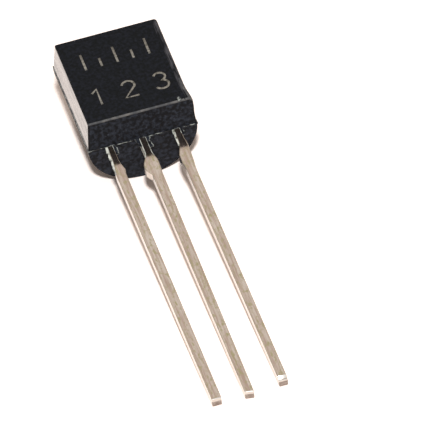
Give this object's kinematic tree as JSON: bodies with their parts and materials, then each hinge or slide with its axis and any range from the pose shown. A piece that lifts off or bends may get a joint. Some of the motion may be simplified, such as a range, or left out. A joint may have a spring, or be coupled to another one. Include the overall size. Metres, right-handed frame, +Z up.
{
  "type": "transistor",
  "caption": "Small-signal transistor in a D-shaped moulded epoxy housing with a flat marked face, a round back and straight tinned leads in a row.",
  "frame": {"origin": "middle of the bounding box's bottom face, on the surface that the part lies on", "axes": "+X to the right along the row of leads as the marked flat is read; +Y from the lead tips towards the moulded housing's top end; +Z up. The part lies on its round back's lower edge and its lead tips, with the marked flat upwards."},
  "size_m": [0.0044, 0.019, 0.0039],
  "materials": {
    "epoxy": "satin",
    "tinned_lead": "satin",
    "silicon": "gloss",
    "die_solder": "satin",
    "bond_gold": "gloss"
  },
  "bodies": {
    "root": {"housing": "epoxy", "emitter_lead": "tinned_lead", "base_lead": "tinned_lead", "collector_lead": "tinned_lead", "silicon_die": "silicon", "die_attach": "die_solder", "emitter_wire": "bond_gold", "base_wire": "bond_gold"}
  },
  "joints": []
}
